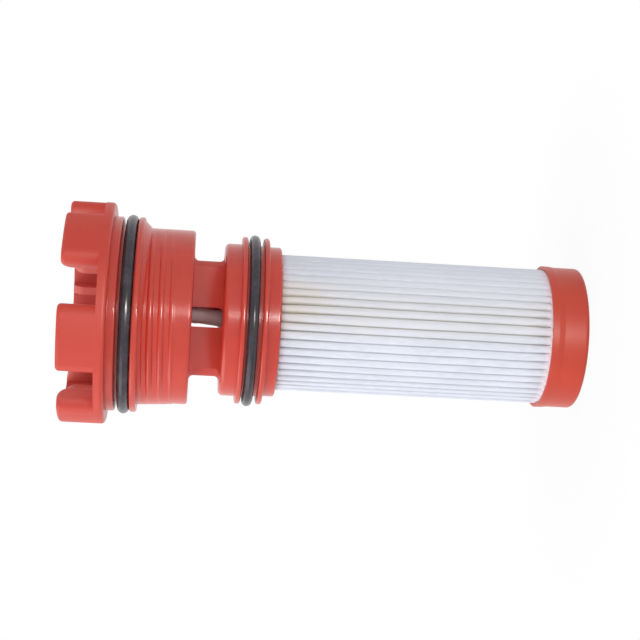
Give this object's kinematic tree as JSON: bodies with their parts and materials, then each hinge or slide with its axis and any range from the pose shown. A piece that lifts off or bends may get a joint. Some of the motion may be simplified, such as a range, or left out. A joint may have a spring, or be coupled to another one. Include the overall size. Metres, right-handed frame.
{
  "type": "fuel filter cartridge",
  "caption": "Screw-in fuel filter cartridge: castellated red knob with two O-ring seals, ported neck, ring of white pleats and a closed end cap.",
  "frame": {"origin": "centre of the end cap's flat face, on which the cartridge stands", "axes": "+Z along the cartridge's axis towards the knob; the neck's two flats face +Y and -Y"},
  "size_m": [0.0552, 0.0552, 0.1288],
  "materials": {
    "red_moulding": "moulded nylon, satin",
    "o_ring_rubber": "smooth fuel-proof rubber",
    "filter_paper": "soft white resin-treated filter paper",
    "seam_glue": "set adhesive",
    "grey_plastic": "moulded, satin",
    "potting": "cast adhesive"
  },
  "bodies": {
    "root": {"cap_body": "red_moulding", "end_cap": "red_moulding", "upper_o_ring": "o_ring_rubber", "lower_o_ring": "o_ring_rubber", "pleated_media": "filter_paper", "seam_strip": "seam_glue", "core_tube": "grey_plastic", "upper_potting": "potting", "lower_potting": "potting"}
  },
  "joints": []
}
